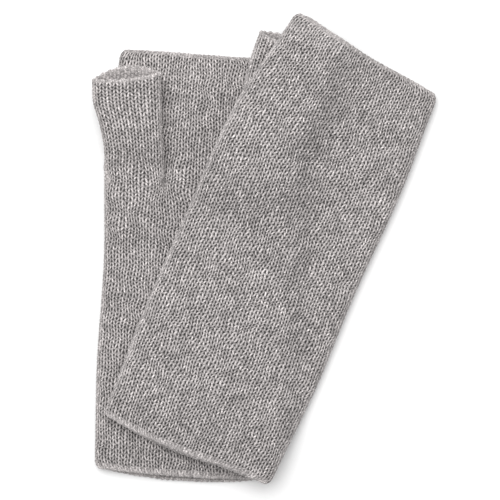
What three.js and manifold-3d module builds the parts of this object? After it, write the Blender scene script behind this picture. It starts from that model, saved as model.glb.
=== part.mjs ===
// A pair of knitted fingerless gloves with open thumbs, lying flat on a table. The left glove
// lies palm up. The right glove lies back up across it, turned to one side, with its thumb
// tucked underneath, and it sags from the lower glove down to the table.
//
// Millimetres, +Z up. Each glove is drawn in a flat frame of its own: u runs across the hand
// from the thumb side to the little-finger side, v runs from the cuff to the finger edge, and
// z is the height above what the glove lies on.

import * as THREE from 'three';
import Module from 'manifold-3d';

const wasm = await Module();
wasm.setup();

const { lerp, smoothstep, degToRad } = THREE.MathUtils;

// The knit
const WALL = 1.6;           // thickness of one layer
const HAND_HEIGHT = 7.8;    // a hand tube lying flat: two layers and the slack between them
const THUMB_HEIGHT = 7.6;   // the same for a thumb tube
const EDGE_DEPTH = 3.6;     // width of a cast-on or bind-off edge
const CORNER = 5;           // rounding of the hand tube's four corners, seen from above
const GAP = 0.3;            // clearance between pieces that touch

// How the upper glove lies on what is under it
const OVER_HAND = HAND_HEIGHT + 0.5;
const OVER_THUMB = THUMB_HEIGHT + 0.9;
const SHOULDER = 2;         // how far it stays level beyond an edge below it
const HAND_FALL = 30;       // then the distance over which it sinks from the hand to the table
const THUMB_FALL = 32;      // and from its own thumb to the lower hand

// The thumb slit and its join
const SLIT_HALF_LENGTH = 11.2;
const SLIT_HALF_WIDTH = 3.6;
const JOIN_WALL = 1;
const SLIT_FROM_ROOT = 9;   // from the thumb's root end to the middle of the slit
const ROOT_HEIGHT = 0.33;   // a thumb's height at its root end, as a share of its full height
const ROOT_TAPER = 0.3;     // share of the thumb's length that rises to full height
const LUMEN_START = 0.1;    // share of the thumb's length at which its hollow begins

// The seam allowance inside the little-finger fold
const SEAM_HALF_WIDTH = 1.4;
const SEAM_HALF_HEIGHT = 1.1;

// Facets
const FOLD_STEPS = 5;       // around the half-round of a fold
const OVERSHOOT = 2;        // how far a cutting solid runs past what it cuts
const MOUTH_OVERSHOOT = 5;  // the same at a thumb's mouth, which is cut at a slant

// Everything below with five values is given at five even stations. thumbSide and littleSide are
// half-widths from the cuff to the fingers. cuffLine and fingerLine are how far an open end
// reaches past straight, across the glove over EDGE_SPAN to each side. thumbLeft and thumbRight
// are the thumb's two folds, from its root to its rim.
const EDGE_SPAN = 45;
const LOWER = {
  name: 'lower',
  cuff: [-41, -113],
  lean: degToRad(2.3),
  length: 210,
  cuffLine: [1, -1.8, -3.4, -3.5, -1.6],
  fingerLine: [1.9, 1.3, 0.2, -0.2, -0.4],
  cuffLip: 3.6,
  thumbSide: [44.4, 45.6, 43.9, 44.5, 40],
  littleSide: [43.4, 45, 45, 44, 41.5],
  thumbStart: 143,
  thumbEnd: 197.7,
  thumbLeft: [-46.2, -46.4, -48.6, -52.6, -53.4],
  thumbRight: [-15.8, -16.3, -16.9, -17.7, -18.8],
  rimSlope: 0.14,
  rimArch: 5,
  rimLip: 7.7,
  slitAcross: -28.5,
  acrossFacets: 5,
  alongFacets: 12,
  thumbFacets: 4,
};

const UPPER = {
  name: 'upper',
  cuff: [-38.2, -99],
  lean: degToRad(24.6),
  length: 215.8,
  cuffLine: [-4, -5.5, -5, -2.6, -2.8],
  fingerLine: [5.7, 1.8, -1, -2.3, -3.8],
  cuffLip: 0.8,
  thumbSide: [45.6, 48.8, 49.9, 50, 41.6],
  littleSide: [45, 46.2, 44.2, 44.2, 40.9],
  thumbStart: 149,
  thumbEnd: 205.2,
  thumbLeft: [-48.2, -48.6, -50.6, -53, -54],
  thumbRight: [-17.8, -18.2, -18.7, -19.2, -19.7],
  rimSlope: 0.1,
  rimArch: 2.5,
  rimLip: 5,
  slitAcross: -31,
  acrossFacets: 12,
  alongFacets: 24,
  thumbFacets: 4,
};

// ---------------------------------------------------------------- flat frames

function toTable(glove, u, v) {
  const x = glove.cuff[0] + u * Math.cos(glove.lean) + v * Math.sin(glove.lean);
  const y = glove.cuff[1] - u * Math.sin(glove.lean) + v * Math.cos(glove.lean);
  return [x, y];
}

function fromTable(glove, x, y) {
  const dx = x - glove.cuff[0];
  const dy = y - glove.cuff[1];
  const u = dx * Math.cos(glove.lean) - dy * Math.sin(glove.lean);
  const v = dx * Math.sin(glove.lean) + dy * Math.cos(glove.lean);
  return [u, v];
}

// Smooth curve through evenly spaced stations, at the share t of its length.
function curveAt(stations, t) {
  const points = stations.map((value, i) => new THREE.Vector2(i, value));
  const curve = new THREE.SplineCurve(points);
  return curve.getPoint(THREE.MathUtils.clamp(t, 0, 1)).y;
}

// How far an open end reaches past straight, at a place across the glove.
function edgeAt(line, u) {
  return curveAt(line, (u + EDGE_SPAN) / (2 * EDGE_SPAN));
}

// ---------------------------------------------------------------- drape

// Distance from a point on the table to the outline of the lower hand tube, 0 inside it.
function pastLowerHand(x, y) {
  const [u, v] = fromTable(LOWER, x, y);
  const t = v / LOWER.length;
  const pastThumbSide = -curveAt(LOWER.thumbSide, t) - u;
  const pastLittleSide = u - curveAt(LOWER.littleSide, t);
  const pastCuff = edgeAt(LOWER.cuffLine, u) - v;
  const pastFingers = v - LOWER.length - edgeAt(LOWER.fingerLine, u);
  const pastSide = Math.max(pastThumbSide, pastLittleSide, 0);
  return Math.hypot(pastSide, Math.max(pastCuff, pastFingers, 0));
}

// The same to the strip that the upper thumb takes up, or swings out into.
function pastUpperThumb(x, y) {
  const [u, v] = fromTable(UPPER, x, y);
  const pastSide = u - UPPER.thumbRight[0];
  const pastRoot = UPPER.thumbStart - 2 * SHOULDER - v;
  const pastRim = v - UPPER.thumbEnd;
  return Math.hypot(Math.max(pastSide, 0), Math.max(pastRoot, pastRim, 0));
}

// Height of the underside of a hand tube above the table.
function handBase(glove, x, y) {
  if (glove === LOWER) return 0;
  const pastThumb = pastUpperThumb(x, y);
  const pastEither = Math.min(pastThumb, pastLowerHand(x, y));
  return OVER_HAND * (1 - smoothstep(pastEither, SHOULDER, SHOULDER + HAND_FALL))
    + OVER_THUMB * (1 - smoothstep(pastThumb, SHOULDER, SHOULDER + THUMB_FALL));
}

// The same for a thumb tube. Both lie level on the lower hand tube.
function thumbBase(glove) {
  return glove === LOWER ? HAND_HEIGHT + GAP : OVER_HAND;
}

// ---------------------------------------------------------------- solids

// A closed solid through rings of equal length, each a list of [x, y, z].
function loft(rings) {
  const count = rings[0].length;
  const positions = rings.flat(2);
  const index = [];
  for (let r = 0; r + 1 < rings.length; r++) {
    for (let i = 0; i < count; i++) {
      const a = r * count + i;
      const b = r * count + (i + 1) % count;
      index.push(a, b, b + count, a, b + count, a + count);
    }
  }
  const lastRing = (rings.length - 1) * count;
  for (const [ring, start, closing] of [[rings[0], 0, true], [rings.at(-1), lastRing, false]]) {
    const centre = positions.length / 3;
    for (let axis = 0; axis < 3; axis++) {
      positions.push(ring.reduce((sum, point) => sum + point[axis], 0) / count);
    }
    for (let i = 0; i < count; i++) {
      const a = start + i;
      const b = start + (i + 1) % count;
      index.push(...(closing ? [centre, b, a] : [centre, a, b]));
    }
  }
  const geometry = new THREE.BufferGeometry();
  geometry.setAttribute('position', new THREE.Float32BufferAttribute(positions, 3));
  geometry.setIndex(index);
  return geometry;
}

function toManifold(geometry) {
  const vertProperties = new Float32Array(geometry.attributes.position.array);
  const triVerts = new Uint32Array(geometry.index.array);
  return new wasm.Manifold(new wasm.Mesh({ numProp: 3, vertProperties, triVerts }));
}

function toGeometry(manifold) {
  const mesh = manifold.getMesh();
  const geometry = new THREE.BufferGeometry();
  geometry.setAttribute('position', new THREE.BufferAttribute(mesh.vertProperties, 3));
  geometry.setIndex(new THREE.BufferAttribute(mesh.triVerts, 1));
  geometry.computeVertexNormals();
  return geometry;
}

function cut(geometry, ...cutters) {
  let solid = toManifold(geometry);
  for (const cutter of cutters) solid = solid.subtract(toManifold(cutter));
  return toGeometry(solid);
}

// ---------------------------------------------------------------- rings

// A flattened ring of [across, z]: level bottom and top, half-round folds at both sides.
function flatRing(left, right, low, high, facets) {
  const radius = (high - low) / 2;
  const middle = (high + low) / 2;
  const ring = [];
  for (let i = 0; i <= facets; i++) {
    ring.push([lerp(right - radius, left + radius, i / facets), low]);
  }
  for (let i = 1; i < FOLD_STEPS; i++) {
    const angle = Math.PI * (i / FOLD_STEPS - 0.5);
    ring.push([left + radius - radius * Math.cos(angle), middle + radius * Math.sin(angle)]);
  }
  for (let i = 0; i <= facets; i++) {
    ring.push([lerp(left + radius, right - radius, i / facets), high]);
  }
  for (let i = 1; i < FOLD_STEPS; i++) {
    const angle = Math.PI * (0.5 - i / FOLD_STEPS);
    ring.push([right - radius + radius * Math.cos(angle), middle + radius * Math.sin(angle)]);
  }
  return ring;
}

// How far a point of the upper layer of an open end is drawn back, so that the mouth shows.
function lipSetback(lip, across, halfAcross, z, height) {
  const onUpperLayer = smoothstep(z, 0.3 * height, 0.7 * height);
  const towardsMiddle = Math.max(0, 1 - (across / halfAcross) ** 2);
  return lip * onUpperLayer * towardsMiddle;
}

// Ring of a hand tube at the share t of its length, drawn in by inset.
function handRing(glove, t, inset) {
  const fromEnd = Math.max(0, Math.min(t, 1 - t) * glove.length);
  const rounding = CORNER - Math.sqrt(CORNER ** 2 - Math.max(0, CORNER - fromEnd) ** 2);
  const thumbHalf = curveAt(glove.thumbSide, t) - rounding;
  const littleHalf = curveAt(glove.littleSide, t) - rounding;
  const ring = flatRing(
    inset - thumbHalf, littleHalf - inset, inset, HAND_HEIGHT - inset, glove.acrossFacets);
  return ring.map(([u, z]) => {
    const setback = lipSetback(glove.cuffLip, u, thumbHalf, z, HAND_HEIGHT);
    const cuffLine = edgeAt(glove.cuffLine, u) + setback;
    const fingerLine = glove.length + edgeAt(glove.fingerLine, u);
    const [x, y] = toTable(glove, u, lerp(cuffLine, fingerLine, t));
    return [x, y, z + handBase(glove, x, y)];
  });
}

// Ring of a thumb tube at the share s of its length. Its rim is slanted, with the lower layer
// arched out past the upper one.
function thumbRing(glove, s, inset) {
  const left = curveAt(glove.thumbLeft, s);
  const right = curveAt(glove.thumbRight, s);
  const half = (right - left) / 2;
  const height = THUMB_HEIGHT * lerp(ROOT_HEIGHT, 1, smoothstep(s, 0, ROOT_TAPER));
  const ring = flatRing(inset - half, half - inset, inset, height - inset, glove.thumbFacets);
  return ring.map(([across, z]) => {
    const setback = lipSetback(glove.rimLip, across, half, z, height);
    const arch = glove.rimArch * Math.max(0, 1 - (across / half) ** 2);
    const shape = glove.rimSlope * across + arch - setback;
    const v = lerp(glove.thumbStart, glove.thumbEnd, s) + shape * smoothstep(s, 0.6, 1);
    const [x, y] = toTable(glove, (left + right) / 2 + across, v);
    return [x, y, z + thumbBase(glove)];
  });
}

// Rings from share a to share b of a tube, in even steps.
function rings(ringAt, glove, a, b, steps, inset) {
  return Array.from({ length: steps + 1 }, (_, i) => ringAt(glove, lerp(a, b, i / steps), inset));
}

// ---------------------------------------------------------------- the thumb slit

function slitMiddle(glove) {
  return [glove.slitAcross, glove.thumbStart + SLIT_FROM_ROOT];
}

// The slit's outline, grown by some margin, between two heights above a base.
function slitBlock(glove, grow, low, high, baseAt) {
  const [middleU, middleV] = slitMiddle(glove);
  const radius = SLIT_HALF_WIDTH + grow;
  const straight = SLIT_HALF_LENGTH - SLIT_HALF_WIDTH;
  const endSteps = 6;
  const outline = [];
  for (const side of [1, -1]) {
    for (let i = 0; i <= endSteps; i++) {
      const angle = Math.PI * (i / endSteps - 0.5);
      const u = middleU + side * (straight + radius * Math.cos(angle));
      outline.push([u, middleV + side * radius * Math.sin(angle)]);
    }
  }
  const level = (z) => outline.map(([u, v]) => {
    const [x, y] = toTable(glove, u, v);
    return [x, y, z + baseAt(glove, x, y)];
  });
  return loft([level(low), level(high)]);
}

// The layer of the hand tube that carries the slit: the top one on the lower glove, which
// lies palm up, and the bottom one on the upper glove.
function slitLayer(glove) {
  return glove === LOWER ? [HAND_HEIGHT - WALL, HAND_HEIGHT] : [0, WALL];
}

// ---------------------------------------------------------------- pieces

function handTube(glove) {
  const start = (EDGE_DEPTH + GAP) / glove.length;
  const past = OVERSHOOT / glove.length;
  const steps = glove.alongFacets;
  const outside = loft(rings(handRing, glove, start, 1 - start, steps, 0));
  const hollow = loft(rings(handRing, glove, start - past, 1 - start + past, steps, WALL));
  const [low, high] = slitLayer(glove);
  const grow = JOIN_WALL + GAP;
  const slit = slitBlock(glove, grow, low - OVERSHOOT, high + OVERSHOOT, handBase);
  return cut(outside, hollow, slit);
}

// The cast-on edge at the cuff, or the bind-off edge at the fingers.
function handEdge(glove, atFingers) {
  const depth = EDGE_DEPTH / glove.length;
  const past = OVERSHOOT / glove.length;
  const [start, end] = atFingers ? [1 - depth, 1] : [0, depth];
  const steps = 3;
  const outside = loft(rings(handRing, glove, start, end, steps, 0));
  const hollow = loft(rings(handRing, glove, start - past, end + past, steps, WALL));
  return cut(outside, hollow);
}

function thumbTube(glove) {
  const length = glove.thumbEnd - glove.thumbStart;
  const end = 1 - (EDGE_DEPTH + GAP) / length;
  const past = MOUTH_OVERSHOOT / length;
  const steps = 10;
  const outside = loft(rings(thumbRing, glove, 0, end, steps, 0));
  const hollow = loft(rings(thumbRing, glove, LUMEN_START, end + past, steps, WALL));
  const [low, high] = glove === LOWER ? [-OVERSHOOT, 2 * WALL] : [2 * WALL, THUMB_HEIGHT];
  return cut(outside, hollow, slitBlock(glove, 0, low, high, thumbBase));
}

function thumbEdge(glove) {
  const length = glove.thumbEnd - glove.thumbStart;
  const start = 1 - EDGE_DEPTH / length;
  const past = MOUTH_OVERSHOOT / length;
  const outside = loft(rings(thumbRing, glove, start, 1, 1, 0));
  const hollow = loft(rings(thumbRing, glove, start - past, 1 + past, 1, WALL));
  return cut(outside, hollow);
}

function thumbJoin(glove) {
  const [low, high] = slitLayer(glove);
  const outside = slitBlock(glove, JOIN_WALL, low, high, handBase);
  const opening = slitBlock(glove, 0, low - OVERSHOOT, high + OVERSHOOT, handBase);
  return cut(outside, opening);
}

function sideSeam(glove) {
  const steps = glove.alongFacets;
  const margin = 2 * EDGE_DEPTH / glove.length;
  const corners = 8;
  const lumenRadius = HAND_HEIGHT / 2 - WALL;
  const ringAt = (_, t) => Array.from({ length: corners }, (__, i) => {
    const angle = 2 * Math.PI * i / corners;
    const foldMiddle = curveAt(glove.littleSide, t) - WALL - lumenRadius;
    const u = foldMiddle + SEAM_HALF_WIDTH * Math.cos(angle);
    const cuffLine = edgeAt(glove.cuffLine, u);
    const fingerLine = glove.length + edgeAt(glove.fingerLine, u);
    const [x, y] = toTable(glove, u, lerp(cuffLine, fingerLine, t));
    const z = HAND_HEIGHT / 2 - SEAM_HALF_HEIGHT * Math.sin(angle);
    return [x, y, z + handBase(glove, x, y)];
  });
  return loft(rings(ringAt, glove, margin, 1 - margin, steps, 0));
}

// ---------------------------------------------------------------- the pair

const KNIT_GREY = 0xa5a09e;
const EDGE_GREY = 0xb0aba8;
const SEAM_GREY = 0x9a9593;

function knit(color) {
  return new THREE.MeshStandardMaterial({ color, roughness: 0.95, metalness: 0 });
}

function glovePieces(glove) {
  const pieces = {
    hand_tube: [handTube(glove), KNIT_GREY],
    cuff_edge: [handEdge(glove, false), EDGE_GREY],
    finger_edge: [handEdge(glove, true), EDGE_GREY],
    side_seam: [sideSeam(glove), SEAM_GREY],
    thumb_join: [thumbJoin(glove), SEAM_GREY],
    thumb_tube: [thumbTube(glove), KNIT_GREY],
    thumb_edge: [thumbEdge(glove), EDGE_GREY],
  };
  const group = new THREE.Group();
  for (const [piece, [geometry, color]] of Object.entries(pieces)) {
    const mesh = new THREE.Mesh(geometry, knit(color));
    mesh.name = `${glove.name}_${piece}`;
    group.add(mesh);
  }
  return group;
}

// The origin is at the middle of the pair's outline, on the table.
const gloves = new THREE.Group();
gloves.add(glovePieces(LOWER), glovePieces(UPPER));
const outline = new THREE.Box3().setFromObject(gloves, true);
const middle = outline.getCenter(new THREE.Vector3());
gloves.position.set(-middle.x, -middle.y, -outline.min.z);

export default gloves;
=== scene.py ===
"""A pair of knitted fingerless gloves lying flat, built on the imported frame.

Lengths are in millimetres until a mesh is made, and in metres after that. Each glove is drawn
in a flat frame of its own: u runs across the hand from the thumb side to the little-finger
side, v runs from the cuff to the finger edge. Stitches are counted in wales around a tube,
from the middle of its right-hand fold across the lower layer and back over the upper one, and
in courses along it.
"""
import math

import bpy
import numpy as np
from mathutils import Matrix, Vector


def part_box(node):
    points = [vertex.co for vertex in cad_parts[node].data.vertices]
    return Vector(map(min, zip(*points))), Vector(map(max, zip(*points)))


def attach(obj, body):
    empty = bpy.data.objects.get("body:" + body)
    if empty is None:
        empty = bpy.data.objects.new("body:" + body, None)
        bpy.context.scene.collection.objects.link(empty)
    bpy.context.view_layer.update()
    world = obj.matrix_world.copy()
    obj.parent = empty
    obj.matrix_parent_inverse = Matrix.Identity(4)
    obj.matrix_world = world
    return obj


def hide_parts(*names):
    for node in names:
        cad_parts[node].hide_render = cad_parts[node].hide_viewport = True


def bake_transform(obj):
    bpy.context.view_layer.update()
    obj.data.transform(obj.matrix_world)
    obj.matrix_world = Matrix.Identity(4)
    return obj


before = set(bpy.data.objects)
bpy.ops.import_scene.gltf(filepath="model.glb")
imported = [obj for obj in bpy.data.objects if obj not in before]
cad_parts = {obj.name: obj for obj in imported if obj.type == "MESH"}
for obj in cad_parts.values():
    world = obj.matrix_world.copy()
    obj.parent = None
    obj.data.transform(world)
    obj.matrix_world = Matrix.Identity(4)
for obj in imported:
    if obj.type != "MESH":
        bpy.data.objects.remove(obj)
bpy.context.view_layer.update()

MM = 0.001

# -------------------- the knit
WALL = 1.6              # thickness of one layer
HAND_HEIGHT = 7.8       # a hand tube lying flat
THUMB_HEIGHT = 7.6      # a thumb tube lying flat
EDGE_DEPTH = 3.6        # width of a cast-on or bind-off edge
EDGE_OVERLAP = 0.35     # how far an edge runs on under the end of its tube
CORNER = 5.0            # rounding of the hand tube's corners, seen from above
CLEARANCE = 0.3         # between the lower thumb and the palm under it
FOLD_RADIUS = 6.5       # how far a fold's rounding reaches across the glove
THUMB_FOLD_RADIUS = 5.0

HAND_WALES = 62         # around the whole tube
THUMB_WALES = 22
COURSE = 2.05           # height of one course
WALE_STEPS = 6          # mesh columns to a wale
COURSE_STEPS = 4        # mesh rows to a course
LEG_RISE = 1.95         # how many courses a stitch's leg would climb across a whole wale
GAP_IN_FURROW = 1.7     # depth of the gap between two stitches, beside a leg
GAP_ON_LEG = 0.4        # and on top of it
GAP_SHARPNESS = 0.9
FURROW = 0.6            # depth of the furrows along the wales
KNIT_RELIEF = 0.7       # from the bottom of a furrow to the top of a leg
PURL_RELIEF = 0.5
RELIEF_AT_END = 0.5     # share of the relief that is left at an open end
RELIEF_FULL = (1.0, 5.0)        # from the end, where it starts to grow and is whole
THUMB_PURL_SHARE = 0.3  # of the wall's thickness, inside a thumb tube
MOUTH_COURSES = 5       # courses inside an open end that are fully meshed
THUMB_MOUTH_COURSES = 6
INSIDE_STEP = 3         # courses to a mesh row further in
OVERLAP_SINK = 0.6      # how deep the overlap is hidden, as a share of its length
EDGE_ROWS = 7           # mesh rows from tube to roll
ROLL_ROWS = 11          # and around the roll
ROLL_BLEND = (0.2, 1.0) # the relief ends this far past the roll's start, from this far before
# an edge's rolled chain: radius, how far the felted band reaches, looseness of its loops
CUFF_CHAIN = (1.15, 4.0, 0.16)
FINGER_CHAIN = (0.9, 2.4, 0.16)
THUMB_CHAIN = (0.95, 2.8, 0.3)
CHAIN_UNEVEN = 0.5      # how much that looseness varies
CHAIN_UNEVEN_LENGTH = 5.0       # in wales
CHAIN_TWIST = 0.10      # how far a loop leans over the roll, in wales
CHAIN_COURSE = 0.3      # the chain's width, in courses
PAST_ENDS = 10.0        # lets a thumb tube's normals be taken right up to its ends
WANDER_ACROSS = 0.16    # how far the stitches stray from straight rows, in wales
WANDER_ALONG = 0.24     # and in courses
WANDER_LENGTH = 5.0
WANDER_START = 6.0      # rows are straight at an open end and stray this far from it
FOLD_FELT_AND_SHEEN = 0.75        # how far the stitches are felted over along a fold; there the same value also paints a pale sheen
FOLD_FELT_AND_SHEEN_REACH = (0.4, 1.4)    # wales from the fold over which that ends
LINKING_FELT = 0.5      # how far the stitches are felted over on the linked seams
CORD_SIDES = 10         # of a linked seam's cord
CORD_TWIST = 0.2        # how much its stitches show, as a share of its radius
UPWARDS = np.array([0.0, 0.0, 1.0])
RIPPLE_WAVES = 9        # sine waves that make up an unevenness
FOLD_STEPS = 64         # points in the table of a fold's shape

# -------------------- how the gloves lie
OVER_HAND = HAND_HEIGHT + 0.5       # height of what lies on the lower hand tube
OVER_THUMB = THUMB_HEIGHT + 0.9     # how much higher the upper hand tube lies on its own thumb
SHOULDER = 2.0          # how far the upper glove stays level past what it lies on
HAND_FALL = 15.0        # and over what length it then comes down, past the lower hand tube
THUMB_FALL = 32.0       # and past its own thumb
MOUTH_DROP = 2.5        # how much lower the upper layer lies at an open end
MOUTH_REACH = 16.0
UNDULATION = 0.31       # unevenness of the upper layer
UNDULATION_LENGTH = 42.0
# shares of a flat tube's height between which the lower layer becomes the upper one
LIP_TURN = (0.3, 0.7)   # for the step between the layers' edges
UPPER_TURN = (0.45, 1.0)        # for what moves the upper layer only
RIM_FROM = 0.6          # a thumb's rim shapes it from this share of its length

SLIT_HALF_LENGTH = 11.2
SLIT_HALF_WIDTH = 3.6
SLIT_FROM_ROOT = 9.0
SLIT_MARGIN = 0.5       # by which the faces cut away reach past the slit
RING_RADIUS = 0.85      # of the linking stitches around the slit
RING_STITCHES = 26
RING_COURSE = 0.2       # courses from one ring of points to the next
RING_END_STEPS = 22     # points around one end of the slit, and along one side
RING_SIDE_STEPS = 30
RING_LOWERED = 0.4      # the lower glove's ring, under the middle of its layer
SEAM_RADIUS = 1.15      # of the seam allowance in the little-finger fold
SEAM_STEPS = 260
SEAM_TIP = 0.02         # its ends close to this share of its width
ROOT_HEIGHT = 0.33      # a thumb's height at its root end, as a share of its full height
ROOT_TAPER = 0.3        # share of its length after which it has all of it
ROOT_BEFORE = 0.6       # how far the hand tube's own measure is short of v at the root end
ROOT_BLEND = 27.0       # over this length the lower thumb grows out of the palm
ROOT_UNDER = 3.0        # how far it runs on under the palm's surface
ROOT_SINK = 0.9         # and how deep
ROOT_SINK_END = (-1.5, 0.5)     # along the thumb, where it comes up to the surface
ROOT_THICKNESS = 2.0    # both layers together where the thumb starts
ROOT_WALL_SHARE = 0.42  # most that one layer takes of the room between the two outsides
TUCK = 0.9              # how far its left fold is tucked in there, in wales
TUCK_REACH = 2.5        # wales from the fold over which that ends
TUCK_END = (2.0, 12.0)  # and where it ends along the thumb
PRESS = 2.3             # how far the lower thumb's root presses the palm down
PRESS_RISE = (0.6, 3.5) # it grows from this far before the root to this far past it
PRESS_FADE = (152.0, 162.0)     # from the cuff, where most of that ends
PRESS_FADE_SHARE = 0.85
PRESS_EDGE = (3.0, 0.5) # and ends from this far inside the thumb's inner side to outside it
CREASE_DEPTH = 1.3      # of the dip in the palm along the thumb's inner side
CREASE_WIDTH = 3.2
CREASE_OUTSIDE = 1.5    # how far outside the thumb its middle is
CREASE_START = (144.0, 151.0)   # from the cuff, where it starts and where it is full
PALM_RISE = 2.6         # how much the palm rises towards the thumb's root
PALM_RISE_REACH = 30.0
PALM_RISE_END = 12.0    # past the root it ends over this length
PALM_RISE_EDGE = (6.0, 9.0)     # and across, from inside the thumb's inner side to outside it
CROTCH = (-15.5, 144.5) # where the lower thumb parts from the palm
CROTCH_REACH = 6.5
CROTCH_LIFT = 1.2       # the knit stands up around it
CROTCH_DEPTH = 2.7      # and is drawn in at it
CROTCH_WIDTH = 1.3
CROTCH_LENGTH = 1.6     # as a multiple of its width
CROTCH_GATHER = 0.5     # how much the stitches are drawn together there

# Five values are at five even stations, as in the CAD model.
EDGE_SPAN = 45.0

LOWER = {
    "name": "lower",
    "cuff": (-41.0, -113.0),
    "lean": math.radians(2.3),
    "length": 210.0,
    "cuff_line": (0.3, -2.4, -3.7, -3.5, -1.6),
    "finger_line": (1.9, 1.3, 0.2, -0.2, -0.4),
    "cuff_lip": 2.0,
    "thumb_side": (44.6, 45.6, 44.2, 45.5, 40.0),
    "little_side": (43.4, 45.0, 45.0, 44.0, 41.5),
    "thumb_start": 143.0,
    "thumb_end": 197.7,
    "thumb_left": (-46.4, -46.2, -48.2, -52.4, -53.4),
    "thumb_right": (-15.8, -16.3, -16.9, -17.7, -18.8),
    "rim_slope": 0.14,
    "rim_arch": 5.0,
    "rim_lip": 6.6,
    "slit_across": -28.5,
    "seed": 11,
}

UPPER = {
    "name": "upper",
    "cuff": (-38.2, -99.0),
    "lean": math.radians(24.6),
    "length": 215.8,
    "cuff_line": (-4.0, -5.5, -5.0, -2.6, -1.9),
    "finger_line": (5.7, 1.8, -1.0, -2.3, -3.8),
    "cuff_lip": 0.8,
    "thumb_side": (45.6, 48.8, 49.9, 50.0, 41.6),
    "little_side": (45.0, 46.2, 44.2, 44.2, 40.9),
    "thumb_start": 149.0,
    "thumb_end": 205.2,
    "thumb_left": (-48.2, -48.6, -50.6, -53.0, -54.0),
    "thumb_right": (-17.8, -18.2, -18.7, -19.2, -19.7),
    "rim_slope": 0.1,
    "rim_arch": 2.5,
    "rim_lip": 5.0,
    "slit_across": -31.0,
    "seed": 23,
}


# -------------------- small maths
def lerp(a, b, t):
    return a + (b - a) * t


def smoothstep(x, low, high):
    t = np.clip((x - low) / (high - low), 0.0, 1.0)
    return t * t * (3 - 2 * t)


def curve_at(stations, t):
    """Catmull-Rom curve through evenly spaced values, at the share t of its length."""
    p = np.asarray(stations, float)
    last = len(p) - 1
    x = np.clip(t, 0.0, 1.0) * last
    i = np.minimum(np.floor(x).astype(int), last - 1)
    w = x - i
    p0, p1 = p[np.maximum(i - 1, 0)], p[i]
    p2, p3 = p[i + 1], p[np.minimum(i + 2, last)]
    v0, v1 = (p2 - p0) / 2, (p3 - p1) / 2
    return ((2 * p1 - 2 * p2 + v0 + v1) * w**3
            + (-3 * p1 + 3 * p2 - 2 * v0 - v1) * w**2 + v0 * w + p1)


def ripple(x, y, seed, wavelength, period=None):
    """Smooth unevenness, mostly between -1 and 1. With a period it repeats along x."""
    rng = np.random.default_rng(seed)
    total = np.zeros(np.broadcast(x, y).shape)
    for _ in range(RIPPLE_WAVES):
        angle = rng.uniform(0, 2 * math.pi)
        k = 2 * math.pi / (wavelength * rng.uniform(0.7, 1.6))
        kx, ky = k * math.cos(angle), k * math.sin(angle)
        if period:
            turn = 2 * math.pi / period
            kx = round(kx / turn) * turn
        total = total + np.sin(kx * x + ky * y + rng.uniform(0, 2 * math.pi))
    return total / math.sqrt(RIPPLE_WAVES) / 1.2


# -------------------- flat frames and drape
def to_table(glove, u, v):
    lean = glove["lean"]
    return (glove["cuff"][0] + u * math.cos(lean) + v * math.sin(lean),
            glove["cuff"][1] - u * math.sin(lean) + v * math.cos(lean))


def from_table(glove, x, y):
    lean = glove["lean"]
    dx, dy = x - glove["cuff"][0], y - glove["cuff"][1]
    return (dx * math.cos(lean) - dy * math.sin(lean),
            dx * math.sin(lean) + dy * math.cos(lean))


def edge_at(line, u):
    return curve_at(line, (u + EDGE_SPAN) / (2 * EDGE_SPAN))


def past_lower_hand(x, y):
    """Distance on the table to the outline of the lower hand tube, 0 inside it."""
    u, v = from_table(LOWER, x, y)
    t = v / LOWER["length"]
    past_thumb = -curve_at(LOWER["thumb_side"], t) - u
    past_little = u - curve_at(LOWER["little_side"], t)
    past_cuff = edge_at(LOWER["cuff_line"], u) - v
    past_fingers = v - LOWER["length"] - edge_at(LOWER["finger_line"], u)
    side = np.maximum(np.maximum(past_thumb, past_little), 0)
    return np.hypot(side, np.maximum(np.maximum(past_cuff, past_fingers), 0))


def past_upper_thumb(x, y):
    """The same to the strip that the upper thumb takes up, or swings out into."""
    u, v = from_table(UPPER, x, y)
    side = u - UPPER["thumb_right"][0]
    root = UPPER["thumb_start"] - 2 * SHOULDER - v
    rim = v - UPPER["thumb_end"]
    return np.hypot(np.maximum(side, 0), np.maximum(np.maximum(root, rim), 0))


def hand_base(glove, x, y):
    """Height of the underside of a hand tube above the table."""
    if glove is LOWER:
        return np.zeros_like(x)
    thumb = past_upper_thumb(x, y)
    either = np.minimum(thumb, past_lower_hand(x, y))
    return (OVER_HAND * (1 - smoothstep(either, SHOULDER, SHOULDER + HAND_FALL))
            + OVER_THUMB * (1 - smoothstep(thumb, SHOULDER, SHOULDER + THUMB_FALL)))


def thumb_base(glove):
    return HAND_HEIGHT + CLEARANCE if glove is LOWER else OVER_HAND


# -------------------- stitches
def knit_height(wale, course):
    """Relief of the knit side, 0 in the furrows to 1 on top of a leg."""
    m = np.abs(wale - np.floor(wale) - 0.5)
    rise = course - LEG_RISE * m
    f = rise - np.floor(rise)
    gap = (1 - 4 * f * (1 - f)) ** GAP_SHARPNESS
    across = np.clip(np.sin(2 * math.pi * m), 0, 1)
    height = 1 - gap * lerp(GAP_IN_FURROW, GAP_ON_LEG, across) - FURROW * (1 - across)
    return np.clip(height, 0, 1)


def purl_height(wale, course):
    """Relief of the purl side: bumps two to a wale, every other one half a course higher."""
    side = np.floor(2 * wale)
    rise = course + 0.5 * np.mod(side, 2)
    f = rise - np.floor(rise)
    return np.sqrt(4 * f * (1 - f) * np.clip(np.sin(math.pi * (2 * wale - side)), 0, 1))


# -------------------- surfaces of the tubes
def fold_table(radius, half_height):
    """Arc length, inset and height along the quarter ellipse of a fold."""
    angle = np.linspace(0, math.pi / 2, FOLD_STEPS)
    inset = radius * (1 - np.cos(angle))
    height = half_height * np.sin(angle)
    steps = np.hypot(np.diff(inset), np.diff(height))
    return np.concatenate([[0], np.cumsum(steps)]), inset, height


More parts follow.
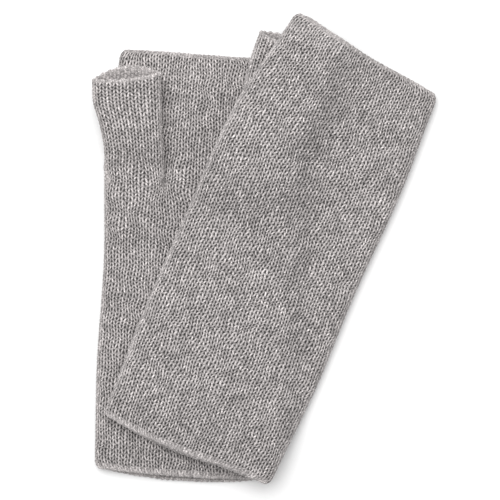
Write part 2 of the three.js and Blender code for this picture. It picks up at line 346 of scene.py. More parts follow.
def flat_tube(wale, wales, left, right, half_height, radius):
    """Place across, and height above the middle, of a wale of a tube that lies flat."""
    arc, inset, height = fold_table(radius, half_height)
    half = wales / 2
    turned = np.mod(wale, wales)
    on_top = turned >= half
    from_left = np.where(on_top, turned - half, half - turned) / half
    layer = (right - left) - 2 * radius + 2 * arc[-1]
    along = from_left * layer
    near_left = along <= layer / 2
    d = np.where(near_left, along, layer - along)
    across = np.where(d < arc[-1], np.interp(d, arc, inset), radius + d - arc[-1])
    lift = np.where(d < arc[-1], np.interp(d, arc, height), half_height)
    return np.where(near_left, left + across, right - across), np.where(on_top, lift, -lift)


def lip_setback(lip, across, half, share_up):
    """How far the upper layer's edge lies behind the lower one's."""
    return lip * smoothstep(share_up, *LIP_TURN) * np.maximum(0, 1 - (across / half) ** 2)


def crotch_pull(u, v, upper):
    """How the lower glove's knit is drawn in where its thumb parts from the palm: the new place
    on the flat glove, and how much lower the knit lies."""
    from_u, from_v = u - CROTCH[0], v - CROTCH[1]
    near = np.exp(-(from_u**2 + from_v**2) / (2 * CROTCH_REACH**2)) * upper
    spread = from_u**2 + (from_v / CROTCH_LENGTH) ** 2
    crease = np.exp(-spread / (2 * CROTCH_WIDTH**2)) * upper
    return (u - CROTCH_GATHER * from_u * near, v - 0.5 * CROTCH_GATHER * from_v * near,
            CROTCH_DEPTH * crease - CROTCH_LIFT * near)


def palm_relief(glove, u, v, pressed):
    """The lower glove's upper layer around its thumb: it rises towards the thumb's root, is
    pressed down under the thumb, and dips along the thumb's inner side."""
    root, inner = glove["thumb_start"], glove["thumb_right"][0]
    towards_root = smoothstep(v, root - PALM_RISE_REACH, root)
    past_root = smoothstep(v, root, root + PALM_RISE_END)
    beside = 1 - smoothstep(u, inner - PALM_RISE_EDGE[0], inner + PALM_RISE_EDGE[1])
    relief = PALM_RISE * towards_root * (1 - past_root) * beside
    if pressed:
        below = smoothstep(v, root - PRESS_RISE[0], root + PRESS_RISE[1])
        below = below * (1 - PRESS_FADE_SHARE * smoothstep(v, *PRESS_FADE))
        right = curve_at(glove["thumb_right"], (v - root) / (glove["thumb_end"] - root))
        below = below * (1 - smoothstep(u, right - PRESS_EDGE[0], right + PRESS_EDGE[1]))
        beside_thumb = np.exp(-(((u - right - CREASE_OUTSIDE) / CREASE_WIDTH) ** 2))
        beside_thumb = beside_thumb * smoothstep(v, *CREASE_START)
        relief = relief - PRESS * below - CREASE_DEPTH * beside_thumb
    return relief


def hand_surface(glove, wale, along, pressed=True):
    """The outside of a hand tube, without its stitches, along millimetres from the cuff.
    Where the lower thumb covers the palm it is pressed down, unless pressed is False."""
    length = glove["length"]
    seed = glove["seed"]
    from_end = np.clip(np.minimum(along, length - along), 0, None)
    course = along / COURSE
    stray = ripple(wale, course, seed, WANDER_LENGTH, HAND_WALES)
    stray_along = ripple(wale, course, seed + 1, WANDER_LENGTH, HAND_WALES)
    along = along + WANDER_ALONG * COURSE * stray_along * smoothstep(from_end, 0, WANDER_START)
    wale = wale + WANDER_ACROSS * stray
    t = along / length
    rounding = CORNER - np.sqrt(CORNER**2 - np.maximum(0, CORNER - from_end) ** 2)
    thumb_half = curve_at(glove["thumb_side"], t) - rounding
    little_half = curve_at(glove["little_side"], t) - rounding
    half_height = HAND_HEIGHT / 2
    u, lift = flat_tube(wale, HAND_WALES, -thumb_half, little_half, half_height, FOLD_RADIUS)
    share_up = (lift / half_height + 1) / 2
    cuff_line = (edge_at(glove["cuff_line"], u)
                 + lip_setback(glove["cuff_lip"], u, thumb_half, share_up))
    finger_line = length + edge_at(glove["finger_line"], u)
    v = lerp(cuff_line, finger_line, t)
    upper = smoothstep(share_up, *UPPER_TURN)
    drawn_in = 0.0
    if glove is LOWER:
        u, v, drawn_in = crotch_pull(u, v, upper)
    x, y = to_table(glove, u, v)
    mouth = 1 - smoothstep(from_end, 0, MOUTH_REACH)
    uneven = UNDULATION * ripple(u, v, seed + 2, UNDULATION_LENGTH)
    if glove is LOWER:
        uneven = uneven + palm_relief(glove, u, v, pressed)
    z = half_height + lift + hand_base(glove, x, y) - drawn_in
    z = z - upper * (MOUTH_DROP * mouth - uneven * (1 - mouth))
    return np.stack([x, y, z], axis=-1)


def thumb_tube_surface(glove, wale, along):
    """The outside of a thumb tube by itself, along millimetres from its root end."""
    length = glove["thumb_end"] - glove["thumb_start"]
    s = along / length
    left, right = curve_at(glove["thumb_left"], s), curve_at(glove["thumb_right"], s)
    half = (right - left) / 2
    half_height = THUMB_HEIGHT / 2
    across, lift = flat_tube(wale, THUMB_WALES, -half, half, half_height, THUMB_FOLD_RADIUS)
    share_up = (lift / half_height + 1) / 2
    arch = glove["rim_arch"] * np.maximum(0, 1 - (across / half) ** 2)
    shape = (glove["rim_slope"] * across + arch
             - lip_setback(glove["rim_lip"], across, half, share_up))
    v = lerp(glove["thumb_start"], glove["thumb_end"], s) + shape * smoothstep(s, RIM_FROM, 1)
    x, y = to_table(glove, (left + right) / 2 + across, v)
    height = THUMB_HEIGHT * lerp(ROOT_HEIGHT, 1, smoothstep(s, 0, ROOT_TAPER))
    return np.stack([x, y, thumb_base(glove) + height * share_up], axis=-1)


def root_along(glove):
    """Where the thumb's root end is, in the hand tube's own measure."""
    return glove["thumb_start"] - ROOT_BEFORE


def thumb_surface(glove, wale, along):
    """The outside of a thumb tube as it lies. The lower one, which lies palm up, grows out of
    the palm: near its root both its layers follow the palm's own stitches."""
    own = thumb_tube_surface(glove, wale, along)
    if glove is not LOWER:
        return own
    half = THUMB_WALES / 2
    turned = np.mod(wale, THUMB_WALES)
    on_top = turned >= half
    from_left = np.where(on_top, turned - half, half - turned)
    tuck = TUCK * (1 - smoothstep(from_left, 0, TUCK_REACH)) * (1 - smoothstep(along, *TUCK_END))
    palm_wale = HAND_WALES / 2 + from_left + tuck
    palm = hand_surface(glove, palm_wale, root_along(glove) + along, pressed=False)
    near_fold = np.minimum(turned, np.abs(turned - half))
    near_fold = np.minimum(near_fold, THUMB_WALES - turned)
    under = ROOT_SINK * (1 - smoothstep(along, *ROOT_SINK_END))
    under = np.where(on_top, under, under + ROOT_THICKNESS * smoothstep(near_fold, 0, 1))
    palm[..., 2] -= under
    share = smoothstep(along, 0, ROOT_BLEND)[..., None]
    return lerp(palm, own, share)


def frame_of(surface, wale, along, length):
    """Outward normal and direction towards larger along, both of unit length."""
    step_w, step_a = 0.08, 0.3
    a = np.clip(along, 0.7, length - 0.7)
    around = surface(wale + step_w, a) - surface(wale - step_w, a)
    up = surface(wale, a + step_a) - surface(wale, a - step_a)
    up = up / np.maximum(np.linalg.norm(up, axis=-1, keepdims=True), 1e-9)
    normal = np.cross(around, up)
    normal = normal / np.maximum(np.linalg.norm(normal, axis=-1, keepdims=True), 1e-9)
    return normal, up


# -------------------- meshes
KNIT_SIDE, PURL_SIDE = 0, 1     # material slots


def make_object(name, points, quads, corner_uvs, slots, felt_and_sheen):
    """A smooth mesh piece in the two knit materials. points are in millimetres; the felt values
    say how far the stitches are felted over, from 0 to 1, and along the folds how strong a
    painted sheen is."""
    mesh = bpy.data.meshes.new(name)
    mesh.vertices.add(len(points))
    placed = (points + FRAME_SHIFT) * MM
    mesh.vertices.foreach_set("co", placed.astype(np.float32).ravel())
    mesh.loops.add(quads.size)
    mesh.loops.foreach_set("vertex_index", quads.astype(np.int32).ravel())
    mesh.polygons.add(len(quads))
    mesh.polygons.foreach_set("loop_start", np.arange(0, quads.size, 4, dtype=np.int32))
    mesh.polygons.foreach_set("material_index", slots.astype(np.int32))
    layer = mesh.uv_layers.new(name="stitches")
    layer.data.foreach_set("uv", corner_uvs.astype(np.float32).ravel())
    attribute = mesh.attributes.new("felt_and_sheen", "FLOAT", "POINT")
    attribute.data.foreach_set("value", felt_and_sheen.astype(np.float32).ravel())
    for material in MATERIALS:
        mesh.materials.append(material)
    mesh.update(calc_edges=True)
    mesh.validate()
    mesh.shade_smooth()
    obj = bpy.data.objects.new(name, mesh)
    bpy.context.scene.collection.objects.link(obj)
    return obj


class QuadList:
    """Faces with their stitch coordinates and material slots, gathered strip by strip."""

    def __init__(self):
        self.quads, self.uvs, self.slots = [], [], []

    def strip(self, low, high, wales, course_low, course_high, slot, keep=None):
        """Quads between two rings of point numbers; wales has one more value than a ring."""
        after_low, after_high = np.roll(low, -1), np.roll(high, -1)
        quads = np.stack([low, after_low, after_high, high], axis=-1)
        a, b = np.full(len(low), course_low), np.full(len(low), course_high)
        uvs = np.stack([np.stack([wales[:-1], a], -1), np.stack([wales[1:], a], -1),
                        np.stack([wales[1:], b], -1), np.stack([wales[:-1], b], -1)], axis=1)
        if keep is not None:
            quads, uvs = quads[keep], uvs[keep]
        self.quads.append(quads)
        self.uvs.append(uvs)
        self.slots.append(np.full(len(quads), slot))

    def quad(self, corners, wale, course, slot):
        self.quads.append(np.array([corners]))
        self.uvs.append(np.tile([wale, course], (1, 4, 1)))
        self.slots.append(np.array([slot]))

    def joined(self):
        return np.concatenate(self.quads), np.concatenate(self.uvs), np.concatenate(self.slots)


def slit_rim(faces, hole, outside, row_inside, wales, courses):
    """Faces through the wall all around the hole."""
    for r, c in zip(*np.nonzero(hole)):
        n = (c + 1) % hole.shape[1]
        low, high = outside[r], outside[r + 1]
        in_low, in_high = row_inside[r], row_inside[r + 1]
        rims = ((hole[r - 1, c], (low[c], low[n], in_low[n], in_low[c])),
                (hole[r + 1, c], (high[n], high[c], in_high[c], in_high[n])),
                (hole[r, c - 1], (high[c], low[c], in_low[c], in_high[c])),
                (hole[r, n], (low[n], high[n], in_high[n], in_low[n])))
        for open_beyond, corners in rims:
            if not open_beyond:
                faces.quad(corners, wales[c], courses[r], PURL_SIDE)


def fold_felt_and_sheen(wales, columns):
    """How far the stitches are felted over beside a tube's two folds; the same value paints a
    pale sheen there.
    """
    half = columns / WALE_STEPS / 2
    from_fold = np.mod(wales - wales[0], half)
    from_fold = np.minimum(from_fold, half - from_fold)
    return FOLD_FELT_AND_SHEEN * (1 - smoothstep(from_fold, *FOLD_FELT_AND_SHEEN_REACH))


def wall_object(name, wales, courses, outer, inner, inner_rows, hole=None):
    """A tube of knit with an outside and an inside, closed at both ends. hole marks faces of
    the outside that are left out, through to the inside."""
    rows, columns = outer.shape[:2]
    points = np.concatenate([outer.reshape(-1, 3), inner.reshape(-1, 3)])
    hole = np.zeros((rows - 1, columns), bool) if hole is None else hole
    around = np.append(wales, 2 * wales[-1] - wales[-2])
    outside = np.arange(rows * columns).reshape(rows, columns)
    inside = rows * columns + np.arange(len(inner_rows) * columns).reshape(-1, columns)
    faces = QuadList()
    for r in range(rows - 1):
        faces.strip(outside[r], outside[r + 1], around, courses[r], courses[r + 1], KNIT_SIDE,
                    ~hole[r])
    for i, (r0, r1) in enumerate(zip(inner_rows[:-1], inner_rows[1:])):
        keep = ~hole[r0:r1].any(axis=0)
        faces.strip(inside[i + 1], inside[i], around, courses[r1], courses[r0], PURL_SIDE, keep)
    faces.strip(inside[0], outside[0], around, courses[0], courses[0], KNIT_SIDE)
    faces.strip(outside[-1], inside[-1], around, courses[-1], courses[-1], KNIT_SIDE)
    row_inside = {int(row): inside[i] for i, row in enumerate(inner_rows)}
    slit_rim(faces, hole, outside, row_inside, wales, courses)

    quads, uvs, slots = faces.joined()
    used = np.unique(quads)
    number = np.zeros(len(points), int)
    number[used] = np.arange(len(used))
    felt_and_sheen = fold_felt_and_sheen(np.tile(wales, rows + len(inner_rows)), columns)
    return make_object(name, points[used], number[quads], uvs, slots, felt_and_sheen[used])


def relief_left(from_end):
    """How much of the stitch relief is left this far from an open end."""
    return RELIEF_AT_END + (1 - RELIEF_AT_END) * smoothstep(from_end, *RELIEF_FULL)


def inside_rows(count, mouth_courses, cut=None):
    """Rows of the inside: all of them near the ends and around a cut, and few in between."""
    row = np.arange(count)
    kept = np.minimum(row, count - 1 - row) <= mouth_courses * COURSE_STEPS
    kept |= row % (INSIDE_STEP * COURSE_STEPS) == 0
    if cut is not None:
        kept |= (row >= cut[0] - 1) & (row <= cut[-1] + 2)
    return row[kept]


def tube_grid(wales, start, end):
    count = int(round((end - start) / COURSE)) * COURSE_STEPS
    along = np.linspace(start, end, count + 1)
    columns = np.arange(wales * WALE_STEPS) / WALE_STEPS
    wale, far = np.meshgrid(columns, along)
    return columns, along, wale, far


def slit_faces(glove, base, wale):
    """Which faces of the hand tube's outside the thumb slit takes away."""
    u, v = from_table(glove, base[..., 0], base[..., 1])
    straight = SLIT_HALF_LENGTH - SLIT_HALF_WIDTH
    past_end = np.maximum(np.abs(u - glove["slit_across"]) - straight, 0)
    reach = np.hypot(past_end, v - glove["thumb_start"] - SLIT_FROM_ROOT)
    top = wale >= HAND_WALES / 2
    inside = (reach < SLIT_HALF_WIDTH + SLIT_MARGIN) & (top if glove is LOWER else ~top)
    pair = inside & np.roll(inside, -1, axis=1)
    return pair[:-1] & pair[1:]


def hand_tube(glove, surface):
    """The hand's knit, cut open at the thumb's slit."""
    length = glove["length"]
    columns, along, wale, far = tube_grid(HAND_WALES, EDGE_DEPTH, length - EDGE_DEPTH)
    base = surface(wale, far)
    normal, _ = frame_of(surface, wale, far, length)
    from_end = np.minimum(far, length - far)
    sink = KNIT_RELIEF * (1 - knit_height(wale, far / COURSE)) * relief_left(from_end)
    outer = base - normal * sink[..., None]
    hole = slit_faces(glove, base, wale)
    rows = inside_rows(len(along), MOUTH_COURSES, np.nonzero(hole.any(axis=1))[0])
    purl = PURL_RELIEF * purl_height(wale, far / COURSE)[rows]
    inner = base[rows] - normal[rows] * (WALL - purl)[..., None]
    return wall_object(f"{glove['name']}_knit_hand_tube", columns, along / COURSE, outer, inner,
                       rows, hole)


def thumb_tube(glove, surface):
    """The thumb's knit, with a thinner wall where its root leaves little room."""
    length = glove["thumb_end"] - glove["thumb_start"]
    start = -ROOT_UNDER if glove is LOWER else 0.0
    columns, along, wale, far = tube_grid(THUMB_WALES, start, length - EDGE_DEPTH)
    base = surface(wale, far)
    normal, _ = frame_of(lambda w, a: surface(w, a - PAST_ENDS), wale, far + PAST_ENDS,
                         length + 2 * PAST_ENDS)
    course = (root_along(glove) + far) / COURSE
    sink = KNIT_RELIEF * (1 - knit_height(wale, course)) * relief_left(length - far)
    outer = base - normal * sink[..., None]
    rows = inside_rows(len(along), THUMB_MOUTH_COURSES)
    opposite = base[:, (-np.arange(base.shape[1])) % base.shape[1]]
    room = np.median(np.linalg.norm(base - opposite, axis=-1), axis=1)
    wall = np.minimum(WALL, ROOT_WALL_SHARE * room)[rows][:, None]
    purl = THUMB_PURL_SHARE * purl_height(wale, course)[rows]
    inner = base[rows] - normal[rows] * (wall * (1 - purl))[..., None]
    first = HAND_WALES / 2 - THUMB_WALES / 2
    return wall_object(f"{glove['name']}_knit_thumb_tube", columns + first,
                       (root_along(glove) + along) / COURSE, outer, inner, rows)


def band_object(name, rows, felts, courses, wales, at_far_end, outside_rows):
    """Joins an edge's rings of points into one band that closes on itself. outside_rows is how
    many of them belong to the knit side."""
    columns = len(rows[0])
    numbers = np.arange(len(rows) * columns).reshape(len(rows), -1)
    around = np.append(np.arange(columns) / WALE_STEPS, wales)
    around = around + (HAND_WALES / 2 - wales / 2) % HAND_WALES
    faces = QuadList()
    for r in range(len(rows)):
        n = (r + 1) % len(rows)
        slot = KNIT_SIDE if r < outside_rows - 1 else PURL_SIDE
        low, high = (r, n) if at_far_end else (n, r)
        faces.strip(numbers[low], numbers[high], around, courses[low], courses[high], slot)
    quads, uvs, slots = faces.joined()
    felt_and_sheen = np.repeat(felts, columns)
    return make_object(name, np.concatenate(rows), quads, uvs, slots, felt_and_sheen)


def edge_band(glove, label, surface, wales, length, at_far_end, start_course, style):
    """A cast-on or bind-off edge: the last stitches of a tube, turned over in a rolled chain.
    The profile runs along the outside to the open end, around the roll and back inside.
    style holds the roll's radius, how far the felted band reaches and the chain's looseness."""
    radius, band, loop = style
    columns = np.arange(wales * WALE_STEPS) / WALE_STEPS
    reach = EDGE_DEPTH + EDGE_OVERLAP
    rows, felts, courses = [], [], []

    def ring(from_edge):
        along = length - from_edge if at_far_end else from_edge
        far = np.full_like(columns, along)
        normal, up = frame_of(surface, columns, far, length)
        towards_edge = up if at_far_end else -up
        course = start_course + far / COURSE
        return surface(columns, far), normal, towards_edge, course

    def add(points, felt_and_sheen, course):
        rows.append(points)
        felts.append(felt_and_sheen)
        courses.append(course)

    for e in np.linspace(reach, radius, EDGE_ROWS + 1)[:-1]:
        base, normal, _, course = ring(e)
        sink = KNIT_RELIEF * (1 - knit_height(columns, course)) * relief_left(e)
        sink = sink * smoothstep(e, radius - ROLL_BLEND[0], radius + ROLL_BLEND[1])
        hidden = OVERLAP_SINK * EDGE_OVERLAP * smoothstep(e, EDGE_DEPTH - 0.1, reach)
        add(base - normal * (sink + hidden)[:, None], 1 - smoothstep(e, radius, band), course[0])

    base, normal, out, course = ring(radius)
    centre = base - normal * radius
    uneven = ripple(columns, 0.0, glove["seed"] + 5, CHAIN_UNEVEN_LENGTH, wales)
    loop = loop * (1 + CHAIN_UNEVEN * uneven)
    for a in np.linspace(math.pi / 2, -math.pi / 2, ROLL_ROWS):
        bead = 0.5 + 0.5 * np.cos(2 * math.pi * (columns + CHAIN_TWIST * a))
        size = radius * (1 - loop / 2 + loop * bead)
        reach_out = size * (1 + loop * bead) * math.cos(a)
        past = CHAIN_COURSE * math.cos(a)
        add(centre + normal * (size * math.sin(a))[:, None] + out * reach_out[:, None], 1.0,
            course[0] + (past if at_far_end else -past))
    outside_rows = len(rows)

    for e in np.linspace(radius, reach, EDGE_ROWS)[1:]:
        base, normal, _, course = ring(e)
        share = (e - radius) / (reach - radius)
        sink = lerp(2 * radius, WALL, smoothstep(share, 0, 0.7))
        purl = PURL_RELIEF * purl_height(columns, course) * share
        add(base - normal * (sink - purl)[:, None], 1 - smoothstep(e, radius, band), course[0])
    return band_object(f"{glove['name']}_{label}", rows, felts, courses, wales, at_far_end,
                       outside_rows)


def cord_along(path, across, radius, stitches):
    """Upright rings of points of a thin cord of stitches along a path: a linked seam."""
    count = len(path)
    angle = 2 * math.pi * np.arange(CORD_SIDES) / CORD_SIDES
    step = np.arange(count) / count * stitches
    rows = []
    for i in range(count):
        twist = 0.5 + 0.5 * np.cos(2 * math.pi * step[i] - angle)
        size = radius * (1 - CORD_TWIST + CORD_TWIST * twist)
        rows.append(path[i] + across[i] * (size * np.cos(angle))[:, None]
                    + UPWARDS * (size * np.sin(angle))[:, None])
    return np.array(rows), step


def cord_object(glove, label, rows, bands):
    """A cord's mesh. bands pairs up the rings: two ring numbers, and the course at each."""
    numbers = np.arange(len(rows) * CORD_SIDES).reshape(-1, CORD_SIDES)
    around = np.linspace(0, 1, CORD_SIDES + 1)
    faces = QuadList()
    for one, other, course, other_course in bands:
        faces.strip(numbers[one], numbers[other], around, course, other_course, KNIT_SIDE)
    quads, uvs, slots = faces.joined()
    return make_object(f"{glove['name']}_{label}", rows.reshape(-1, 3), quads, uvs, slots,
                       np.full(numbers.size, LINKING_FELT))


# -------------------- materials
class Graph:
    """Short hand for building a material's nodes."""

    def __init__(self, name):
        self.material = bpy.data.materials.new(name)
        self.material.use_nodes = True
        self.tree = self.material.node_tree
        self.shader = self.tree.nodes["Principled BSDF"]

    def node(self, kind, **settings):
        made = self.tree.nodes.new(kind)
        for key, value in settings.items():
            setattr(made, key, value)
        return made

    def put(self, value, socket):
        if isinstance(value, bpy.types.NodeSocket):
            self.tree.links.new(value, socket)
        else:
            socket.default_value = value

    def math(self, operation, *values):
        made = self.node("ShaderNodeMath", operation=operation)
        for value, socket in zip(values, made.inputs):
            self.put(value, socket)
        return made.outputs[0]

    def vector(self, x, y, z=0.0):
        made = self.node("ShaderNodeCombineXYZ")
        for value, socket in zip((x, y, z), made.inputs):
            self.put(value, socket)
        return made.outputs[0]

    def noise(self, at, scale, detail, roughness=0.5):
        """Noise around 0, mostly within a quarter of it."""
        made = self.node("ShaderNodeTexNoise", noise_dimensions="3D")
        self.put(at, made.inputs["Vector"])
        made.inputs["Scale"].default_value = scale
        made.inputs["Detail"].default_value = detail
        made.inputs["Roughness"].default_value = roughness
        return self.math("SUBTRACT", made.outputs["Fac"], 0.5)

    def random(self, at):
        """A number of its own for every place, from -0.5 to 0.5."""
        made = self.node("ShaderNodeTexWhiteNoise", noise_dimensions="3D")
        self.put(at, made.inputs["Vector"])
        return self.math("SUBTRACT", made.outputs["Value"], 0.5)

    def spread(self, value, low, high, to_low, to_high):
        made = self.node("ShaderNodeMapRange", clamp=True)
        for item, socket in zip((value, low, high, to_low, to_high), made.inputs):
            self.put(item, socket)
        return made.outputs["Result"]

    def weighted(self, *parts):
        """Sum of (value, weight) pairs."""
        total = 0.0
        for value, weight in parts:
            total = self.math("MULTIPLY_ADD", value, weight, total)
        return total

    def scaled_colour(self, colour, factor):
        made = self.node("ShaderNodeVectorMath", operation="SCALE")
        made.inputs[0].default_value = colour
        self.put(factor, made.inputs["Scale"])
        return made.outputs[0]


YARN_GREY = (0.496, 0.465, 0.459)
HOLE_SHADE = 0.10       # painted shade: brightness left in the gaps between stitches
LIT_BETWEEN = (0.05, 0.98)      # heights on a stitch between which the painted shade gives way to full brightness
FELT_AND_SHEEN_LIFT = 0.7          # how far the felt value lifts the painted shade in the gaps, so painting the sheen along the folds, and flattens the relief
ROW_STRAY = 0.5         # how far a course strays, in courses
GAP_VARIES = 0.9        # how much the depth of single gaps differs
PURL_HEIGHT = (0.5, 0.38)       # of a bump above the purl side's ground, and of the ground
# how strongly each cause shifts the yarn's shade, as a power of e
LEG_SHADE, PURL_LEG_SHADE = 0.5, 0.3    # from leg to leg
RUN_SHADE = 0.42        # along a course
AREA_SHADE = 0.37       # from area to area
FIBRE_SHADE = 1.7       # along the fibres
SPECK_SHADE = 2.4       # from speck to speck
# felted places and the painted sheen along the folds are made a little darker overall
FELT_AND_SHEEN_SHADE = -0.2
# how fast the noise behind them changes, per wale and per course
STRAY_RATE = (1.3, 0.9)
RUN_RATE = (0.35, 9.7)
AREA_RATE = (0.14, 0.28)
FIBRE_RATE = (6.0, 5.0)
SPECK_RATE = 1700.0     # per metre
BUMP_STRENGTH, BUMP_DISTANCE = 0.6, 0.0004
FIBRE_BUMP = 0.5        # how high the fibres stand, as a share of a stitch's height


def ridge_of(g, share):
    """0 at both ends of the share of a stitch, 1 in its middle."""
    return g.math("MULTIPLY", g.math("MULTIPLY", share, 4.0), g.math("SUBTRACT", 1.0, share))


def purl_stitches(g, wale, course, side):
    """Height on the purl side's bumps, and the place along and across a bump."""
    across = g.math("FRACT", g.math("MULTIPLY", wale, 2.0))
    odd = g.math("FLOORED_MODULO", side, 2.0)
    rise = g.math("MULTIPLY_ADD", odd, 0.5, course)
    ridge = ridge_of(g, g.math("FRACT", rise))
    bump = g.math("MULTIPLY", ridge, g.math("SINE", g.math("MULTIPLY", across, math.pi)))
    return g.math("MULTIPLY_ADD", bump, *PURL_HEIGHT), rise, across


def knit_stitches(g, wale, course, side):
    """Height on the knit side's stitches, as in knit_height but with courses that stray and
    gaps that differ, and the place along and across a leg."""
    m = g.math("ABSOLUTE", g.math("SUBTRACT", g.math("FRACT", wale), 0.5))
    stray_at = g.vector(g.math("MULTIPLY", wale, STRAY_RATE[0]), course, 9.0)
    strayed = g.math("MULTIPLY_ADD", g.noise(stray_at, STRAY_RATE[1], 1.0), ROW_STRAY, course)
    rise = g.math("MULTIPLY_ADD", m, -LEG_RISE, strayed)
    ridge = ridge_of(g, g.math("FRACT", rise))
    across = g.math("SINE", g.math("MULTIPLY", m, 2 * math.pi))
    gap = g.math("POWER", g.math("SUBTRACT", 1.0, ridge), GAP_SHARPNESS)
    gap = g.math("MULTIPLY", gap, g.spread(across, 0.0, 1.0, GAP_IN_FURROW, GAP_ON_LEG))
    depth = g.random(g.vector(side, g.math("FLOOR", g.math("ADD", rise, 0.5)), 7.0))
    gap = g.math("MULTIPLY", gap, g.math("MULTIPLY_ADD", depth, GAP_VARIES, 1.0))
    furrow = g.math("MULTIPLY", g.math("SUBTRACT", 1.0, across), FURROW)
    return g.math("SUBTRACT", g.math("SUBTRACT", 1.0, gap), furrow), rise, m


def knit_material(name, purl=False):
    """Melange knit for one side of the fabric, on the stitches that the mesh has, with painted
    shade in the gaps between them.
    """
    g = Graph(name)
    split = g.node("ShaderNodeSeparateXYZ")
    g.put(g.node("ShaderNodeUVMap", uv_map="stitches").outputs[0], split.inputs[0])
    wale, course = split.outputs[0], split.outputs[1]
    felt_and_sheen = g.node("ShaderNodeAttribute", attribute_name="felt_and_sheen").outputs["Fac"]
    place = g.node("ShaderNodeTexCoord").outputs["Object"]
    side = g.math("FLOOR", g.math("MULTIPLY", wale, 2.0))
    stitches = purl_stitches if purl else knit_stitches
    height, rise, across = stitches(g, wale, course, side)
    row = g.math("FLOOR", rise)

    # legs differ, the yarn's shade drifts along a course, and areas are uneven
    def at(rate, x, y, z=0.0):
        return g.vector(g.math("MULTIPLY", x, rate[0]), g.math("MULTIPLY", y, rate[1]), z)

    leg = g.random(g.vector(side, row, 3.0))
    run = g.noise(at(RUN_RATE, wale, row), 1.0, 2.0, 0.6)
    area = g.noise(at(AREA_RATE, wale, course, 4.0), 1.0, 2.0, 0.6)
    fibre = g.noise(at(FIBRE_RATE, across, rise, side), 1.0, 2.0, 0.7)
    speck = g.noise(place, SPECK_RATE, 1.0)
    shade = g.weighted((leg, PURL_LEG_SHADE if purl else LEG_SHADE), (run, RUN_SHADE),
                       (area, AREA_SHADE), (fibre, FIBRE_SHADE), (speck, SPECK_SHADE),
                       (felt_and_sheen, FELT_AND_SHEEN_SHADE))
    brightness = g.math("POWER", math.e, shade)

    # painted shade in the gaps, lifted where the surface is felted smooth and where a pale sheen
    # is painted along the folds
    felt_and_sheen_lift = g.math("MULTIPLY", felt_and_sheen, FELT_AND_SHEEN_LIFT)
    lit = g.spread(height, *LIT_BETWEEN, HOLE_SHADE, 1.0)
    lit = g.math("MULTIPLY_ADD", g.math("SUBTRACT", 1.0, lit), felt_and_sheen_lift, lit)
    colour = g.scaled_colour(YARN_GREY, g.math("MULTIPLY", brightness, lit))
    g.put(colour, g.shader.inputs["Base Color"])

    raised = g.math("MULTIPLY", height, g.math("SUBTRACT", 1.0, felt_and_sheen_lift))
    bump = g.node("ShaderNodeBump")
    bump.inputs["Strength"].default_value = BUMP_STRENGTH
    bump.inputs["Distance"].default_value = BUMP_DISTANCE
    g.put(g.weighted((raised, 1.0), (fibre, FIBRE_BUMP)), bump.inputs["Height"])
    g.put(bump.outputs[0], g.shader.inputs["Normal"])
    for socket, value in (("Roughness", 0.92), ("Specular IOR Level", 0.2),
                          ("Sheen Weight", 0.3), ("Sheen Roughness", 0.45),
                          ("Sheen Tint", (0.95, 0.94, 0.93, 1))):
        g.shader.inputs[socket].default_value = value
    return g.material


MATERIALS = [knit_material("grey_melange_knit"), knit_material("grey_melange_purl", purl=True)]


# -------------------- the pieces
def anchor_to_frame():
    """How far the CAD model moved the design to centre it, from one node's box."""
    low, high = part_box("lower_hand_tube")
    _, _, wale, far = tube_grid(HAND_WALES, EDGE_DEPTH, LOWER["length"] - EDGE_DEPTH)
    points = hand_surface(LOWER, wale, far).reshape(-1, 3)
    own = (points.min(axis=0) + points.max(axis=0)) / 2
    shift = np.array((low + high) / 2) / MM - own
    shift[2] = 0
    return shift


def thumb_join(glove):
    """The ring of linking stitches around the thumb slit."""
    straight = SLIT_HALF_LENGTH - SLIT_HALF_WIDTH
    outline, out = [], []
    for sign in (1, -1):
        for i in range(RING_END_STEPS):
            angle = math.pi * (i / RING_END_STEPS - 0.5)
            outline.append((sign * (straight + SLIT_HALF_WIDTH * math.cos(angle)),
                            sign * SLIT_HALF_WIDTH * math.sin(angle)))
            out.append((sign * math.cos(angle), sign * math.sin(angle)))
        for i in range(RING_SIDE_STEPS):
            place = lerp(straight, -straight, i / RING_SIDE_STEPS)
            outline.append((sign * place, sign * SLIT_HALF_WIDTH))
            out.append((0.0, float(sign)))
    outline, out = np.array(outline), np.array(out)
    u = glove["slit_across"] + outline[:, 0]
    v = glove["thumb_start"] + SLIT_FROM_ROOT + outline[:, 1]
    x, y = to_table(glove, u, v)
    ox, oy = to_table(glove, u + out[:, 0], v + out[:, 1])
    layer_middle = HAND_HEIGHT - WALL / 2 - RING_LOWERED if glove is LOWER else WALL / 2
    path = np.stack([x, y, layer_middle + hand_base(glove, x, y)], axis=-1)
    across = np.stack([ox - x, oy - y, np.zeros_like(x)], axis=-1)
    rows, step = cord_along(path, across, RING_RADIUS, RING_STITCHES)
    bands = [(r, (r + 1) % len(rows), step[r], step[r] + RING_COURSE) for r in range(len(rows))]
    return cord_object(glove, "thumb_linking", rows, bands)


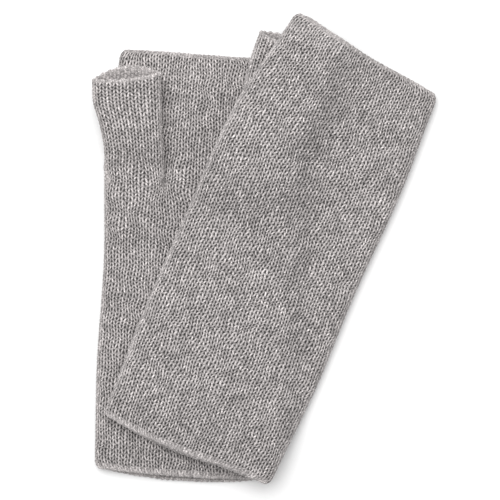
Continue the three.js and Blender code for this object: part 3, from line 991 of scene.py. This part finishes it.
def side_seam(glove):
    """The seam allowance inside the little-finger fold."""
    length = glove["length"]
    far = np.linspace(2 * EDGE_DEPTH, length - 2 * EDGE_DEPTH, SEAM_STEPS)
    t = far / length
    u = curve_at(glove["little_side"], t) - HAND_HEIGHT / 2
    v = lerp(edge_at(glove["cuff_line"], u), length + edge_at(glove["finger_line"], u), t)
    x, y = to_table(glove, u, v)
    path = np.stack([x, y, HAND_HEIGHT / 2 + hand_base(glove, x, y)], axis=-1)
    lean = glove["lean"]
    across = np.tile([math.cos(lean), -math.sin(lean), 0.0], (len(path), 1))
    rows, step = cord_along(path, across, SEAM_RADIUS, length / COURSE)
    # both ends close in a tiny ring around the cord's middle
    start, end = rows[0].mean(axis=0), rows[-1].mean(axis=0)
    rows = np.concatenate([start + SEAM_TIP * (rows[:1] - start), rows,
                           end + SEAM_TIP * (rows[-1:] - end)])
    step = np.concatenate([step[:1], step, step[-1:]])
    bands = [(r + 1, r, step[r + 1], step[r]) for r in range(len(rows) - 1)]
    return cord_object(glove, "seam_allowance", rows, bands)


def place_piece(piece, glove, node, body="glove"):
    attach(piece, f"{glove['name']}_{body}")
    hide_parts(f"{glove['name']}_{node}")


def bend_at_root(piece, glove, node):
    """Bakes the thumb's knit in place and hides its CAD part."""
    name = glove["name"]
    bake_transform(piece)
    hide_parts(f"{name}_{node}")


def build_glove(glove):
    name, length = glove["name"], glove["length"]
    thumb_length = glove["thumb_end"] - glove["thumb_start"]

    def over_hand(wale, along):
        return hand_surface(glove, wale, along)

    def over_thumb(wale, along):
        return thumb_surface(glove, wale, along)

    hand = hand_tube(glove, over_hand)
    cuff = edge_band(glove, "cast_on_edge", over_hand, HAND_WALES, length, False, 0.0,
                     CUFF_CHAIN)
    fingers = edge_band(glove, "bind_off_edge", over_hand, HAND_WALES, length, True, 0.0,
                        FINGER_CHAIN)
    linking = thumb_join(glove)
    seam = side_seam(glove)
    for piece, node, slot in ((hand, "hand_tube", "knit"), (cuff, "cuff_edge", "edge"),
                              (fingers, "finger_edge", "edge"), (linking, "thumb_join", "seam"),
                              (seam, "side_seam", "seam")):
        place_piece(piece, glove, node)

    thumb = thumb_tube(glove, over_thumb)
    rim = edge_band(glove, "thumb_bind_off_edge", over_thumb, THUMB_WALES, thumb_length, True,
                    root_along(glove) / COURSE, THUMB_CHAIN)
    bend_at_root(thumb, glove, "thumb_tube")
    place_piece(rim, glove, "thumb_edge", "thumb")

    return hand


FRAME_SHIFT = anchor_to_frame()
lower_hand = build_glove(LOWER)
build_glove(UPPER)


# -------------------- floor, light and camera
# in metres, apart from the lens and the middle of the view, which are in millimetres
FLOOR_SIZE, FLOOR_GREY = 6, 0.93
KEY_PLACE, KEY_SIZE, KEY_POWER = (-0.34, 0.72, 1.35), 2.0, 32.6
SKY_STRENGTH = 0.6
LENS, SENSOR = 300.0, 36.0
VIEW_WIDTH = 0.25       # what the camera sees at the height of the knit
VIEW_MIDDLE = (-7.51, -0.95, 8.0)       # as the gloves' own measures have it


def floor():
    bpy.ops.mesh.primitive_plane_add(size=FLOOR_SIZE)
    plane = bpy.context.object
    plane.name = "floor"
    g = Graph("pale_floor")
    g.shader.inputs["Base Color"].default_value = (*[FLOOR_GREY] * 3, 1)
    g.shader.inputs["Roughness"].default_value = 0.9
    g.shader.inputs["Specular IOR Level"].default_value = 0.1
    plane.data.materials.append(g.material)


def area_light(name, place, size, power):
    light = bpy.data.lights.new(name, "AREA")
    light.size = size
    light.energy = power
    obj = bpy.data.objects.new(name, light)
    obj.location = place
    obj.rotation_euler = (-Vector(place)).to_track_quat("-Z", "Y").to_euler()
    bpy.context.scene.collection.objects.link(obj)


def soft_sky(strength):
    world = bpy.data.worlds.new("studio")
    world.use_nodes = True
    background = world.node_tree.nodes["Background"]
    background.inputs["Color"].default_value = (1, 1, 1, 1)
    background.inputs["Strength"].default_value = strength
    bpy.context.scene.world = world


def camera():
    """Straight down, with a long lens."""
    middle = np.array(VIEW_MIDDLE) + FRAME_SHIFT
    data = bpy.data.cameras.new("camera")
    data.lens = LENS
    data.sensor_width = SENSOR
    obj = bpy.data.objects.new("camera", data)
    obj.location = Vector(middle * MM) + Vector((0, 0, VIEW_WIDTH * LENS / SENSOR))
    bpy.context.scene.collection.objects.link(obj)
    bpy.context.scene.camera = obj


floor()
area_light("key", KEY_PLACE, KEY_SIZE, KEY_POWER)
soft_sky(SKY_STRENGTH)
bpy.context.scene.view_settings.view_transform = "Standard"
camera()
